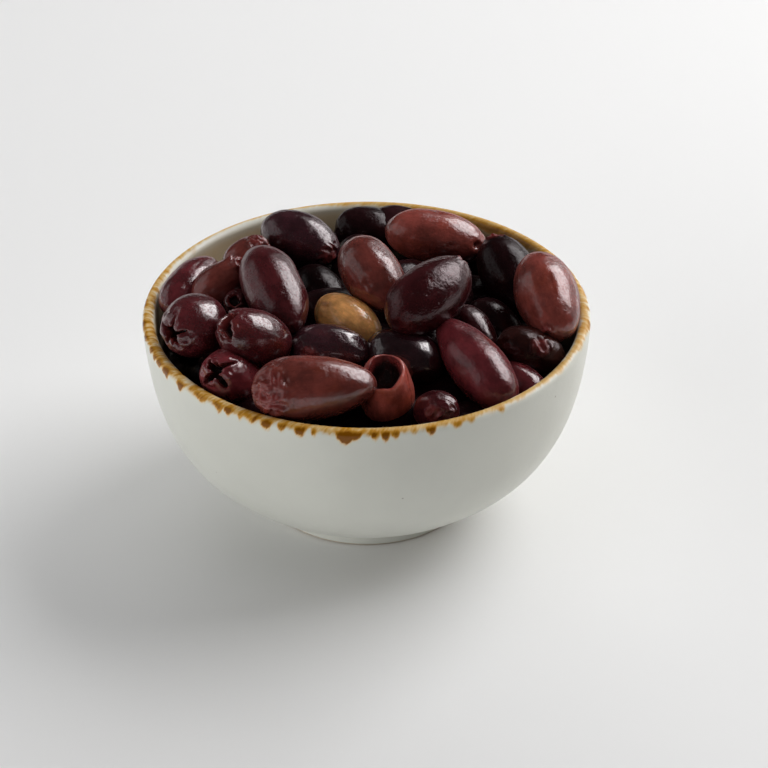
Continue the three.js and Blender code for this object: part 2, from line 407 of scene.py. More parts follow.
def bezier(start, first_pull, second_pull, end, steps):
    """Points of the curve that leaves start towards first_pull and comes to end from second_pull."""
    share = np.linspace(0, 1, steps + 1)[:, None]
    rest = 1 - share
    weights = (rest**3, 3 * share * rest**2, 3 * share**2 * rest, share**3)
    corners = (start, first_pull, second_pull, end)
    return sum(weight * np.array(corner) for weight, corner in zip(weights, corners))


def thrown(outline, columns):
    """Rows of points that an outline makes as it turns about the upright axis, and each column's heading."""
    headings = np.linspace(-math.pi, math.pi, columns, endpoint=False)
    circle = np.stack([np.cos(headings), np.sin(headings)], -1)
    flat = outline[:, 0][:, None, None] * circle[None]
    level = np.repeat(outline[:, 1][:, None], columns, axis=1)
    return np.concatenate([flat, level[..., None]], -1), headings


def new_piece(name, parts, finish, nodes):
    """One mesh of several closed skins: each part is its points, its faces and its named values."""
    points, faces, count = [], [], 0
    for part_points, part_faces, _ in parts:
        points.append(part_points)
        faces.extend([tuple(count + corner for corner in face) for face in part_faces])
        count += len(part_points)
    mesh = bpy.data.meshes.new(name)
    mesh.from_pydata(np.vstack(points).tolist(), [], faces)
    for value_name in parts[0][2]:
        values = np.concatenate([part[2][value_name] for part in parts]).astype(np.float32)
        is_vector = values.ndim == 2
        stored = mesh.attributes.new(value_name, "FLOAT_VECTOR" if is_vector else "FLOAT", "POINT")
        stored.data.foreach_set("vector" if is_vector else "value", values.ravel())
    mesh.shade_smooth()
    mesh.materials.append(finish)
    piece = bpy.data.objects.new(name, mesh)
    bpy.context.scene.collection.objects.link(piece)
    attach(piece, BODY)
    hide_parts(*nodes)


# ---------------------------------------------------------------- the bowl

# Distance from the axis and height, in millimetres, that the wall's curves are pulled to.
OUTER_BELLY_MM = (46.7, 14.2)
OUTER_SHOULDER_MM = (55.9, 22.0)
INNER_SHOULDER_MM = (52.6, 22.0)
INNER_BELLY_MM = (44.0, 9.2)
FLOOR_RADIUS_MM = 20.0
FLOOR_HEIGHT_MM = 8.0
FOOT_HEIGHT_MM = 4.5
FOOT_WIDTH_MM = 3.8
FOOT_BEVEL_MM = 0.5
FOOT_NECK_MM = 0.2
FOOT_FLARE_MM = 0.6
FOOT_FLARE_HEIGHT_MM = 1.2
RECESS_HEIGHT_MM = 2.6
RECESS_SLOPE_MM = 1.4
FOOT_ROUNDING_MM = 0.35
INNER_WALL_STEPS, LIP_STEPS, OUTER_WALL_STEPS, ROUNDING_STEPS = 44, 16, 60, 4
BOWL_COLUMNS = 600

# How far the hand-made wall strays from true, the height above the foot over which it starts to,
# and how near to the lip's top it strays less again, and down to what share.
HAND_MADE_MM = 0.12
HAND_MADE = Lumps(26.0, 5)
TRUE_FOOT_MM = 6.0
LIP_TOP_MM = 55.5
TRUER_LIP_MM = 3.0
LIP_SHARE = 0.3

# How the brown is brushed over the lip. At each heading round the bowl in degrees (-90 is the
# front), how far it reaches down the outside and the inside, how much there is and how broken it
# is, and how far down the inside the painted shade starts.
Brushed = namedtuple("Brushed", "heading outside inside load dashes clean")
LIP_BROWN = [
    Brushed(-165, 2.5, 1.7, 1.0, 1.4, 3.0),
    Brushed(-140, 2.3, 1.6, 0.9, 1.4, 2.2),
    Brushed(-115, 1.8, 1.5, 0.7, 1.2, 1.8),
    Brushed(-95, 1.5, 1.4, 0.5, 0.9, 1.8),
    Brushed(-80, 1.4, 1.4, 0.45, 0.8, 1.8),
    Brushed(-65, 0.9, 1.2, 0.35, 0.5, 1.8),
    Brushed(-35, 0.7, 1.2, 0.35, 0.4, 2.0),
    Brushed(-10, 1.6, 1.4, 0.6, 0.9, 3.0),
    Brushed(10, 1.9, 1.4, 0.6, 1.0, 3.0),
    Brushed(30, 1.6, 2.4, 0.8, 0.6, 4.0),
    Brushed(60, 1.4, 3.0, 0.8, 0.5, 5.0),
    Brushed(85, 1.4, 2.0, 0.6, 0.4, 6.0),
    Brushed(105, 1.2, 0.4, 0.3, 0.4, 8.0),
    Brushed(130, 1.2, 0.0, 0.3, 0.3, 11.0),
    Brushed(155, 1.6, 0.4, 0.5, 0.7, 10.0),
    Brushed(175, 2.4, 1.5, 1.0, 1.4, 5.0),
]
# Each drip below it: its heading, its width, how far below the lip's crest it runs, and its brown.
Drip = namedtuple("Drip", "heading width reach load")
OUTSIDE_DRIPS = [
    Drip(171.5, 2.6, 2.8, 0.8),
    Drip(-167.0, 2.9, 3.2, 1.2),
    Drip(-156.8, 2.9, 3.2, 0.8),
    Drip(-149.0, 2.9, 4.0, 1.3),
    Drip(-142.5, 3.4, 3.9, 1.3),
    Drip(-134.0, 4.7, 3.4, 0.8),
    Drip(-128.0, 3.4, 3.2, 0.8),
    Drip(-125.2, 2.6, 3.5, 1.2),
    Drip(-121.5, 2.4, 3.2, 0.5),
    Drip(-118.0, 2.2, 2.8, 0.5),
    Drip(-114.5, 3.9, 3.7, 1.4),
    Drip(-110.5, 2.5, 3.0, 0.5),
    Drip(-105.8, 3.6, 3.5, 1.3),
    Drip(-102.2, 2.2, 3.2, 0.8),
    Drip(-98.3, 2.1, 2.4, 0.5),
    Drip(-94.8, 5.4, 4.5, 1.6),
    Drip(-92.2, 3.4, 3.5, 1.4),
    Drip(-87.8, 2.5, 3.3, 1.2),
    Drip(-85.2, 2.9, 3.7, 1.4),
    Drip(-82.8, 2.5, 3.0, 0.8),
    Drip(-78.2, 2.5, 2.4, 0.5),
    Drip(-74.2, 3.2, 3.1, 1.4),
    Drip(-67.5, 3.6, 2.6, 0.8),
    Drip(-63.8, 2.6, 2.2, 0.8),
    Drip(-55.0, 2.6, 2.2, 1.3),
    Drip(-7.5, 2.9, 2.6, 0.8),
    Drip(8.0, 2.9, 2.6, 0.8),
]
# How far round the bowl, in millimetres, the brush strokes slant for each one down from the lip,
# and how much longer they are across the lip than along it.
STROKE_SLANT = 0.5
STROKE_LENGTH = 2.5
# By what share the reach and the load come and go along the lip.
OUTSIDE_CHANGE, INSIDE_CHANGE, LOAD_CHANGE = 0.7, 0.5, 0.5
OUTSIDE_LUMPS, INSIDE_LUMPS, LOAD_LUMPS = Lumps(3.5, 1), Lumps(5.0, 4), Lumps(5.0, 3)


def softened(corners, cut):
    """The outline through the corners, each inner corner rounded over the distance cut."""
    corners = [np.array(corner, float) for corner in corners]
    points = [corners[0]]
    for before, corner, after in zip(corners, corners[1:], corners[2:]):
        back, ahead = before - corner, after - corner
        enter = corner + back * min(0.5, cut / np.linalg.norm(back))
        leave = corner + ahead * min(0.5, cut / np.linalg.norm(ahead))
        for share in np.linspace(0, 1, ROUNDING_STEPS + 1):
            points.append((1 - share) ** 2 * enter + 2 * share * (1 - share) * corner + share**2 * leave)
    return np.array(points + [corners[-1]])


def bowl_outline(settings):
    """Points from the inside's centre over the lip to the underside's centre, and the crest's number."""
    radius, height = settings.diameter / MM / 2, settings.height / MM
    lip_radius, foot_radius = settings.lip / MM / 2, settings.foot / MM / 2
    lip_height = height - lip_radius
    floor_corners = [(0, FLOOR_HEIGHT_MM), (FLOOR_RADIUS_MM / 2, FLOOR_HEIGHT_MM)]
    inside = bezier(
        (FLOOR_RADIUS_MM, FLOOR_HEIGHT_MM), INNER_BELLY_MM, INNER_SHOULDER_MM,
        (radius - 2 * lip_radius, lip_height), INNER_WALL_STEPS,
    )
    turn = np.linspace(math.pi, 0, LIP_STEPS + 1)[1:-1]
    lip_centre = np.array([radius - lip_radius, lip_height])
    lip = lip_centre + lip_radius * np.stack([np.cos(turn), np.sin(turn)], -1)
    outside = bezier(
        (radius, lip_height), OUTER_SHOULDER_MM, OUTER_BELLY_MM,
        (foot_radius + FOOT_FLARE_MM, FOOT_HEIGHT_MM), OUTER_WALL_STEPS,
    )
    inner_foot = foot_radius - FOOT_WIDTH_MM
    foot = softened(
        [
            outside[-1],
            (foot_radius - FOOT_NECK_MM, FOOT_HEIGHT_MM - FOOT_FLARE_HEIGHT_MM),
            (foot_radius, FOOT_BEVEL_MM),
            (foot_radius - FOOT_BEVEL_MM, 0),
            (inner_foot + FOOT_BEVEL_MM, 0),
            (inner_foot, FOOT_BEVEL_MM),
            (inner_foot - RECESS_SLOPE_MM, RECESS_HEIGHT_MM),
            (inner_foot / 2, RECESS_HEIGHT_MM),
            (0, RECESS_HEIGHT_MM),
        ],
        FOOT_ROUNDING_MM,
    )
    outline = np.vstack([floor_corners, inside, lip, outside, foot[1:]])
    crest = len(floor_corners) + len(inside) + len(turn) // 2
    return outline, crest


def brushwork(headings, radius):
    """The brown's reach outside and inside, its load, how broken it is and where the painted shade starts
    inside.
    """
    lip_mm = radius * np.stack([np.cos(headings), np.sin(headings), np.zeros_like(headings)], -1)
    away = np.degrees(headings)
    places = [brushed.heading for brushed in LIP_BROWN]
    outside, inside, load, dashes, clean = (
        np.interp(away, places, [getattr(brushed, share) for brushed in LIP_BROWN], period=360)
        for share in ("outside", "inside", "load", "dashes", "clean")
    )
    outside = outside * (1 + OUTSIDE_CHANGE * rough(lip_mm, OUTSIDE_LUMPS))
    inside = inside * (1 + INSIDE_CHANGE * rough(lip_mm, INSIDE_LUMPS))
    load = load * (1 + LOAD_CHANGE * rough(lip_mm, LOAD_LUMPS))
    for drip in OUTSIDE_DRIPS:
        gap = np.abs((away - drip.heading + 180) % 360 - 180) * math.radians(1) * radius
        share = np.maximum(0, 1 - (2 * gap / drip.width) ** 2) ** 0.5
        outside = np.maximum(outside, drip.reach * share)
        load = np.maximum(load, drip.load * share)
    return outside, inside, load, dashes, clean


def hand_made(grid):
    """The wall's points, moved in and out a little, as a potter's hands leave them."""
    above_foot = np.clip(grid[..., 2:] / TRUE_FOOT_MM, 0, 1)
    under_lip = np.clip((LIP_TOP_MM - grid[..., 2:]) / TRUER_LIP_MM, LIP_SHARE, 1)
    stray = HAND_MADE_MM * rough(grid, HAND_MADE)
    return grid + outward(grid) * stray[..., None] * (above_foot * under_lip)


def make_bowl(settings):
    """The whole bowl as one closed skin, with the brushwork as values that the glaze reads."""
    radius = settings.diameter / MM / 2
    outline, crest = bowl_outline(settings)
    grid, headings = thrown(outline[1:-1], BOWL_COLUMNS)
    grid = hand_made(grid)

    steps = np.linalg.norm(np.diff(outline, axis=0), axis=1)
    run = np.concatenate([[0], np.cumsum(steps)])
    from_crest = (run - run[crest])[1:-1, None]
    below, within = np.abs(from_crest), from_crest < 0
    outside, inside, load, dashes, clean = brushwork(headings, radius)
    turned = headings + STROKE_SLANT * from_crest / radius
    drawn_out = np.broadcast_to(from_crest / STROKE_LENGTH, turned.shape)
    stroke_place = np.stack([radius * np.cos(turned), radius * np.sin(turned), drawn_out], -1)
    values = {"brush_place": with_poles(stroke_place)}
    brushed = {
        "below_lip": below,
        "inside": within.astype(float),
        "brush_reach": np.where(from_crest > 0, outside, inside),
        "brush_load": load,
        "brush_dashes": dashes,
        # How far below the start of the painted shade each point inside lies.
        "wetted": within * (below - clean),
    }
    for name, value in brushed.items():
        values[name] = with_poles(np.broadcast_to(value, turned.shape))
    points, faces = closed_skin((0, 0, outline[0, 1]), grid, (0, 0, outline[-1, 1]))
    new_piece("glazed_bowl", [(points * MM, faces, values)], glaze_finish(settings), ["bowl"])


# ---------------------------------------------------------------- the olives

OLIVE_FULLNESS = 2.2
PLAIN_TAPER = 0.06
POINTED_TAPER = 0.22
RINGS_SHOWN, SIDES_SHOWN = 72, 88
RINGS_BELOW, SIDES_BELOW = 44, 52
LIP_RINGS = 7
BORE_RINGS = 16

# The unevenness of a skin; each kind adds its own seed to the olive's.
LOPSIDED, PEBBLES = Lumps(8.0, 0), Lumps(1.5, 130)
FOLDS, RIPPLES = Lumps(1.6, 50), Lumps(3.2, 90)
CREASES, PUCKERS = Lumps(2.4, 70), Lumps(1.0, 110)
CURLS = Lumps(1.7, 30)
PEBBLE_MM = 0.035
# How much longer wrinkles are along an olive than round it, how strong they are at its middle and
# how much is added towards its ends, and the share of sharp folds in them beside soft ripples.
WRINKLE_LENGTH = 4.0
WRINKLED_MIDDLE, WRINKLED_ENDS = 0.45, 0.8
FOLD_SHARE = 0.6
# Each olive's mottling is taken from a place this far from the last one's.
PATTERN_STEP_MM = 41.7

# The hole of the pitting tool at an olive's marked end: its radius and depth, the rounding of its
# lip, how many slits it has torn, how ragged it is, how far its edge curls up or down, how far it
# is drawn out to a point at its top, and how far its underside is cut back.
Hole = namedtuple("Hole", "radius depth rounding slits ragged curl point cut_back")
HOLES = {
    "pitted": Hole(3.2, 10.0, 0.42, 0, 0.04, 0.10, 0.25, 0.45),
    "nick": Hole(1.4, 3.0, 0.45, 0, 0.15, 0.25, 0.0, 0.0),
    "torn": Hole(2.9, 6.5, 0.45, 2, 0.30, 0.70, 0.3, 0.0),
    "star": Hole(2.5, 6.0, 0.45, 5, 0.42, 0.80, 0.0, 0.0),
    "cross": Hole(2.4, 5.5, 0.42, 4, 0.50, 0.90, 0.0, 0.0),
}
# In shares of a hole's raggedness: how far its slits run out, how far its edge draws in between
# them, and how rough the edge is, with lumps of this size on a ring of radius 1.
SLIT_REACH, BETWEEN_SLITS, EDGE_ROUGHNESS = 2.2, 0.6, 1.4
EDGE_LUMPS = Lumps(0.45, 0)
SLIT_SHARPNESS, POINT_SHARPNESS = 3, 4
# The turns along an oval between which a hole's edge is looked for, and at how many places.
EDGE_FROM, EDGE_TO, EDGE_TRIES = math.pi * 0.55, math.pi - 0.02, 400
# The bore's width at its bottom beside the hole's, and how nearly it closes there.
BORE_TAPER, BORE_CLOSING = 0.8, 0.0006
# How far from the marked end the torn edge curls, and within what share of the olive's width.
CURL_REACH_MM, CURL_WITHIN = 2.2, 0.42

# A mark on the skin: where it is along the olive (-1 blunt end, 1 marked end) and round it in
# degrees (0 uppermost, 90 to the left of its heading), its reach each way, and its height.
Mark = namedtuple("Mark", "form along around long wide height")
# How flat the middle of a crumple or of another mark is, and how much torn flesh a crumple shows.
CRUMPLE_FLATNESS, MARK_FLATNESS = 4, 2
CRUMPLE_FLESH = 0.6

# How glossy a skin is beside the others, and how much light goes into it.
Skin = namedtuple("Skin", "gloss soft", defaults=(1.0, 0.0))
SKINS = {"red_brown": Skin(), "plum": Skin(), "black": Skin(), "tan": Skin(0.8, 0.15), "below": Skin(0.25)}
CORE_SKIN = Skin(0.15)

# An olive of the heap: its centre, the way its marked end points round the bowl, that end's lean
# above the level, length and width, skin, end, how wrinkled it is, how light its skin is beside the
# others' (partly its own tone and partly painted light and shade for where it lies in the heap), how
# much rust is in it, how wet it is, and its marks.
Olive = namedtuple(
    "Olive", "at heading lean length width skin end wrinkled shade warm wet marks",
    defaults=("plain", 1.0, 1.0, 0.0, 1.0, ()),
)
HEAP = [
    # round the back of the heap
    Olive(
        (-17.8, 28, 59.4), -22, -12, 22, 14.2, "black", shade=1.5,
        marks=(Mark("crumple", 0.85, -70, 3.6, 4.0, 0.9),),
    ),
    Olive((-0.8, 41.8, 54.8), 4, 0, 16, 12.6, "below", wrinkled=2.5, shade=0.9),
    Olive((8.9, 43, 54.2), -16, -5, 17, 12.4, "below", wrinkled=4.0, shade=1.5),
    Olive(
        (18.1, 28.5, 59.7), -6, -8, 27, 14.3, "red_brown", "nick", shade=1.65, warm=0.14,
        marks=(
            Mark("dent", 0.33, -72, 1.6, 1.0, -0.35), Mark("dent", -0.05, -50, 1.2, 0.9, -0.3),
            Mark("dent", 0.84, -62, 1.5, 1.3, -1.7),
        ),
    ),
    Olive(
        (37.6, 14.5, 55.5), -64, -27, 25, 14.8, "below", shade=0.8,
        marks=(Mark("crumple", -0.92, 0, 2.6, 3.6, 0.7),),
    ),
    Olive(
        (-31.5, 19.5, 58.5), 30, 30, 14, 10.5, "red_brown", wrinkled=3.0, shade=0.9,
        marks=(Mark("crumple", 0.7, -40, 4.0, 4.4, 1.0),),
    ),
    Olive((-20, 40.5, 48), 26, 5, 22, 13, "below"),
    Olive((-37, 27, 46.5), 54, -5, 21, 12, "below"),
    Olive((26.5, 37, 49), -35, 6, 21, 13, "below"),
    Olive((40.5, 23.5, 46), 120, 4, 20, 12, "below"),
    # the left side
    Olive(
        (-45.9, 9.5, 56), 62, 8, 23, 11.6, "plum", shade=1.25, wet=1.5,
        marks=(Mark("dent", 0.2, -14, 3.0, 0.5, -0.3), Mark("dent", -0.48, -30, 2.4, 0.5, -0.3)),
    ),
    Olive(
        (-37.6, 4, 60.2), 30, 25, 16.5, 10.2, "red_brown", wrinkled=2.0, shade=0.85,
        marks=(Mark("crumple", 0.85, -20, 3.6, 5.0, 1.1),),
    ),
    Olive((-42.8, -17.5, 60.3), -130, 13, 17.3, 15.8, "plum", "star", wet=1.6),
    Olive((-32.3, -3.6, 58.3), -105, 38, 14, 7.5, "plum", "nick", 2.0, shade=0.8, warm=0.1),
    Olive((-27.6, -24, 61), -150, 36, 21.5, 14.3, "plum", "torn", shade=0.95, warm=0.1, wet=1.6),
    Olive((-33.8, -31, 54), -115, 38, 17.5, 13.8, "plum", "cross", shade=1.9, wet=1.3),
    # the middle
    Olive((-23.2, -7, 64.4), -68, -15, 29.3, 15, "plum", shade=0.8, wet=0.6),
    Olive(
        (1.5, 0.3, 64.9), -60, -17, 23.5, 15, "red_brown", shade=0.9,
        marks=(Mark("bump", 0.61, -66, 1.5, 1.1, 0.7), Mark("dent", 0.48, -52, 2.2, 0.7, -0.4)),
    ),
    Olive(
        (15.7, -12.5, 66.3), 45, 11, 26.5, 16.2, "plum", shade=0.45, wet=0.05,
        marks=(Mark("crumple", 0.86, -15, 1.8, 2.2, 0.6), Mark("bump", 0.80, -15, 1.4, 1.8, 0.5)),
    ),
    Olive(
        (-4.4, -10.4, 56.7), -41, -12, 20, 12.6, "tan", shade=2.05, wet=1.6,
        marks=(Mark("dent", -0.57, -44, 1.5, 1.2, -0.5),),
    ),
    Olive(
        (-8.8, -21.2, 55.8), -4, -7, 20.5, 12.2, "black", wrinkled=2.5, shade=1.7, wet=2.0,
        marks=(Mark("crumple", -0.50, -78, 3.2, 2.8, 0.8), Mark("bump", -0.28, -88, 1.3, 1.3, 0.9)),
    ),
    Olive((9.9, -22, 53.8), -12, -9, 20.5, 14.3, "black", shade=0.8, wet=2.0),
    Olive((-11.6, 11.2, 51.2), -53, -27, 20.5, 13, "below", shade=0.4),
    # the right side
    Olive(
        (46, -3.2, 60), -77, -20, 27, 15.8, "red_brown", shade=1.45, warm=0.14, wet=0.9,
        marks=(
            Mark("crumple", 0.86, -62, 2.2, 2.0, 0.9), Mark("dent", 0.15, -4, 4.6, 0.9, -0.3),
            Mark("dent", -0.53, 30, 1.0, 2.4, -0.4),
        ),
    ),
    Olive((33.3, 1.3, 47.5), -41, -32, 18.5, 13, "below"),
    Olive((27.2, -8, 52.8), -53, -22, 17, 9.8, "plum", shade=0.4, wet=0.8),
    Olive(
        (41.4, -16, 52), -10, -15, 17.5, 11.6, "red_brown", wrinkled=3.0, shade=0.22, wet=0.2,
        marks=(Mark("crumple", 0.2, -38, 3.6, 3.2, 0.8),),
    ),
    Olive((26.8, -27.6, 56.1), 123, 16, 31, 13.3, "plum", "pointed", shade=1.4, warm=0.09, wet=0.55),
    Olive((38.6, -24.6, 47.2), -40, -10, 14.5, 10.4, "plum", shade=1.3),
    # the front
    Olive((5.3, -36.2, 52.6), -100, 68, 29, 13.4, "red_brown", "pitted", shade=2.8, warm=0.22, wet=1.4),
    Olive(
        (-12.2, -42.7, 58.5), 2, 3, 30, 15.6, "red_brown", "pointed", shade=1.0, warm=0.2,
        marks=(Mark("crumple", -0.72, -64, 6.2, 8.0, 1.2),),
    ),
    Olive(
        (17.2, -42, 51.4), -43, 31, 12.2, 9.6, "plum", wrinkled=4.0, shade=0.7, wet=0.7,
        marks=(Mark("crumple", 0.5, -83, 3.0, 3.0, 0.5),),
    ),
    # lower ones that show between the others, near black in the lower skin as painted shade
    Olive((8.5, 15, 53), 35, 0, 21, 13, "below"),
    Olive((-3, 27, 53), 80, 5, 20, 12.5, "below"),
    Olive((21, 10.5, 53), 105, -5, 18, 12.5, "below"),
    Olive((-25, -38, 44.5), -30, -8, 18, 11.5, "below"),
    Olive((-45.7, -5, 50), 95, 0, 16, 11, "below"),
    Olive((-33, -15, 50.5), 30, 10, 20, 13, "below"),
    Olive((-13, -32, 48), 20, 0, 20, 12.5, "below"),
    Olive((25, -38.5, 45), 35, 0, 18, 11.5, "below"),
    Olive((44, -9, 45), -80, 0, 18, 11, "below"),
    Olive((-25.5, 18.5, 51), 75, 0, 21, 12.5, "below"),
    Olive((-10, 2, 52.5), 20, 0, 19, 12.5, "below"),
]


def oval(turn, olive):
    """Place along the axis and radius of the oval, for a turn from 0, blunt end, to pi, marked end."""
    taper = POINTED_TAPER if olive.end == "pointed" else PLAIN_TAPER
    along = -np.cos(turn)
    fullness = np.sqrt(np.maximum(0, 1 - np.abs(along) ** OLIVE_FULLNESS))
    return along * olive.length / 2, olive.width / 2 * fullness * (1 - taper * along)


def whole_rows(olive, rings, sides):
    """Rows of an olive with no hole."""
    turn = np.repeat(np.linspace(0, math.pi, rings + 1)[1:-1, None], sides, axis=1)
    along, radius = oval(turn, olive)
    return along, radius, np.zeros_like(along)


def hole_mouth(hole, sides, seed):
    """How far from the olive's axis the hole's ragged edge is, all the way round."""
    angles = np.linspace(0, 2 * math.pi, sides, endpoint=False)
    ring = np.stack([np.cos(angles), np.sin(angles), np.zeros(sides)], -1)
    top, underside = 0.5 + 0.5 * np.cos(angles), 0.5 - 0.5 * np.cos(angles)
    edge = EDGE_ROUGHNESS * rough(ring, EDGE_LUMPS, seed)
    if hole.slits:
        slit = (0.5 + 0.5 * np.cos(hole.slits * angles + seed)) ** SLIT_SHARPNESS
        edge = SLIT_REACH * slit - BETWEEN_SLITS + edge
    drawn_out = hole.point * top**POINT_SHARPNESS + hole.cut_back * underside
    return hole.radius * (1 + hole.ragged * edge + drawn_out)


def pitted_rows(olive, rings, sides, seed):
    """Rows of an olive with a hole: the outside up to the hole's edge, the rounded lip and the bore."""
    hole = HOLES[olive.end]
    tries = np.linspace(EDGE_FROM, EDGE_TO, EDGE_TRIES)
    tried_along, tried_radius = oval(tries, olive)
    slope = np.arctan2(-np.gradient(tried_radius), np.gradient(tried_along))
    edge = tried_radius - hole.rounding * (1 + np.cos(slope))
    stop = np.interp(hole_mouth(hole, sides, seed), edge[::-1], tries[::-1])
    stop_slope = np.interp(stop, tries, slope)

    turn = np.linspace(0, 1, rings + 1)[1:, None] * stop
    along, radius = oval(turn, olive)
    bend = stop_slope + np.linspace(0, 1, LIP_RINGS + 1)[1:, None] * (math.pi - stop_slope)
    lip_along = along[-1] + hole.rounding * (np.sin(bend) - np.sin(stop_slope))
    lip_radius = radius[-1] + hole.rounding * (np.cos(bend) - np.cos(stop_slope))
    inward = np.linspace(0, 1, BORE_RINGS + 1)[1:, None]
    floor = olive.length / 2 - hole.depth
    closing = np.sqrt(np.maximum(BORE_CLOSING, 1 - inward**3))
    bore_radius = (lip_radius[-1] * (1 - inward) + BORE_TAPER * hole.radius * inward) * closing
    bore_along = lip_along[-1] + (floor - lip_along[-1]) * (1 - (1 - inward) ** 1.5)
    torn = np.concatenate([
        np.zeros_like(along),
        np.repeat(np.linspace(0, 1, LIP_RINGS)[:, None], sides, axis=1),
        np.repeat(np.linspace(1, 2, BORE_RINGS)[:, None], sides, axis=1),
    ])
    along = np.concatenate([along, lip_along, bore_along])
    return along, np.concatenate([radius, lip_radius, bore_radius]), torn


def mark_share(grid, olive, mark, flatness):
    """How much of the mark each point takes: 1 at its centre, falling smoothly to 0 at its edge."""
    along, radius = oval(np.array(math.acos(-mark.along)), olive)
    turn = math.radians(mark.around)
    centre = np.array([along, radius * math.sin(turn), radius * math.cos(turn)])
    gap = grid - centre
    far = (gap[..., 0] / mark.long) ** 2 + (np.linalg.norm(gap[..., 1:], axis=-1) / mark.wide) ** 2
    return np.exp(-2 * far ** (flatness / 2))


def skin_lift(olive, grid, radius, seed, settings):
    """How far the skin stands off the plain oval at each point, before any marks."""
    along = grid[..., 0]
    lopsided = settings.lopsided / MM * rough(grid, LOPSIDED, seed)
    lengthways = grid / np.array([WRINKLE_LENGTH, 1.0, 1.0])
    towards_ends = WRINKLED_MIDDLE + WRINKLED_ENDS * (np.abs(along) / (olive.length / 2)) ** 3
    folds = 1 - 2 * np.abs(rough(lengthways, FOLDS, seed))
    ripples = rough(lengthways, RIPPLES, seed)
    wrinkle = settings.wrinkle / MM * olive.wrinkled * towards_ends * (folds * FOLD_SHARE + ripples)
    lift = lopsided + wrinkle + PEBBLE_MM * rough(grid, PEBBLES, seed)
    if olive.end in HOLES:
        near_end = np.exp(-(((along - along.max()) / CURL_REACH_MM) ** 2))
        near_lip = near_end * (radius < olive.width * CURL_WITHIN)
        lift = lift + HOLES[olive.end].curl * near_lip * rough(grid, CURLS, seed)
    return lift


def with_marks(olive, grid, lift, torn, seed):
    """The skin's lift and its torn flesh, with the olive's marks added."""
    for mark in olive.marks:
        if mark.form == "crumple":
            share = mark_share(grid, olive, mark, CRUMPLE_FLATNESS)
            creases = 1 - 3 * np.abs(rough(grid, CREASES, seed)) + 0.5 * rough(grid, PUCKERS, seed)
            lift = lift + share * mark.height * creases
            torn = np.maximum(torn, CRUMPLE_FLESH * share)
        else:
            lift = lift + mark_share(grid, olive, mark, MARK_FLATNESS) * mark.height
    return lift, torn


def laid(points, olive):
    """An olive's own points, in millimetres, laid in its place in the heap, in metres."""
    heading, lean = math.radians(olive.heading), math.radians(olive.lean)
    ahead = (math.cos(lean) * math.cos(heading), math.cos(lean) * math.sin(heading), math.sin(lean))
    left = (-math.sin(heading), math.cos(heading), 0)
    up = (-math.sin(lean) * math.cos(heading), -math.sin(lean) * math.sin(heading), math.cos(lean))
    return (points @ np.array([ahead, left, up]) + np.array(olive.at)) * MM


def skin_values(pattern, shade, warm, wet, torn):
    """What a skin's finish reads at each point; pattern is the place that its mottling is taken from."""
    return {
        "own_place": pattern,
        "own_shade": np.full(len(pattern), shade),
        "own_warm": np.full(len(pattern), warm),
        "own_wet": np.full(len(pattern), wet),
        "torn": torn,
    }


def olive_part(olive, number, settings):
    """One olive's points, faces and values, in its place in the heap."""
    low_down = olive.skin == "below"
    rings, sides = (RINGS_BELOW, SIDES_BELOW) if low_down else (RINGS_SHOWN, SIDES_SHOWN)
    seed = number + 1
    if olive.end in HOLES:
        along, radius, torn = pitted_rows(olive, rings, sides, seed)
    else:
        along, radius, torn = whole_rows(olive, rings, sides)
    angles = np.linspace(0, 2 * math.pi, sides, endpoint=False)
    grid = np.stack([along, radius * np.sin(angles), radius * np.cos(angles)], -1)
    lift = skin_lift(olive, grid, radius, seed, settings)
    lift, torn = with_marks(olive, grid, lift, torn, seed)
    grid = grid + outward(grid) * lift[..., None]

    points, faces = closed_skin(grid[0].mean(axis=0), grid, grid[-1].mean(axis=0))
    pattern = points + number * PATTERN_STEP_MM
    values = skin_values(pattern, olive.shade, olive.warm, olive.wet, with_poles(torn))
    return laid(points, olive), faces, values


def make_olives(name, skin, settings):
    """All the olives of one skin as one joined mesh."""
    parts = [olive_part(olive, number, settings) for number, olive in enumerate(HEAP) if olive.skin == skin]
    finish = skin_finish(name + "_skin", getattr(settings, skin), settings, *SKINS[skin])
    new_piece(name, parts, finish, ["olives"])


# ---------------------------------------------------------------- the core of the heap

CORE_COLUMNS = 180
CORE_GAP_MM = 0.8
CORE_EDGE_MM = 43.0
CORE_TOP_MM = 56.0
CORE_WALL_STEPS, CORE_DOME_ROWS = 40, 58
# The lumps of its top: how far across they are and how deep the gaps between them. They fade out
# over this many rows, which end this many below the edge of its dome.
CORE_LUMP_MM = 13.0
CORE_LUMP_DEPTH_MM = 6.5
CORE_FADE_ROWS, CORE_FADE_END = 8, 6
# The core's skin is the lower skin made darker still: painted shade for the gaps between the olives.
CORE_PAINTED_SHADE, CORE_WARM, CORE_WET = 0.4, -0.2, 0.5


def core_outline(bowl):
    """The core's dome, from its top out, and then its whole outline down to the bowl's floor."""
    radius, lip_radius = bowl.diameter / MM / 2, bowl.lip / MM / 2
    wall = bezier(
        (radius - 2 * lip_radius, bowl.height / MM - lip_radius), INNER_SHOULDER_MM, INNER_BELLY_MM,
        (FLOOR_RADIUS_MM, FLOOR_HEIGHT_MM), CORE_WALL_STEPS,
    )
    side = wall[wall[:, 1] < CORE_EDGE_MM] + np.array([-CORE_GAP_MM, CORE_GAP_MM])
    share = np.linspace(0, 1, CORE_DOME_ROWS + 2)[1:-1]
    dome = np.stack([side[0, 0] * share, CORE_TOP_MM - (CORE_TOP_MM - side[0, 1]) * share**3], -1)
    return dome, np.vstack([dome, side, [[FLOOR_RADIUS_MM / 2, FLOOR_HEIGHT_MM + CORE_GAP_MM]]])


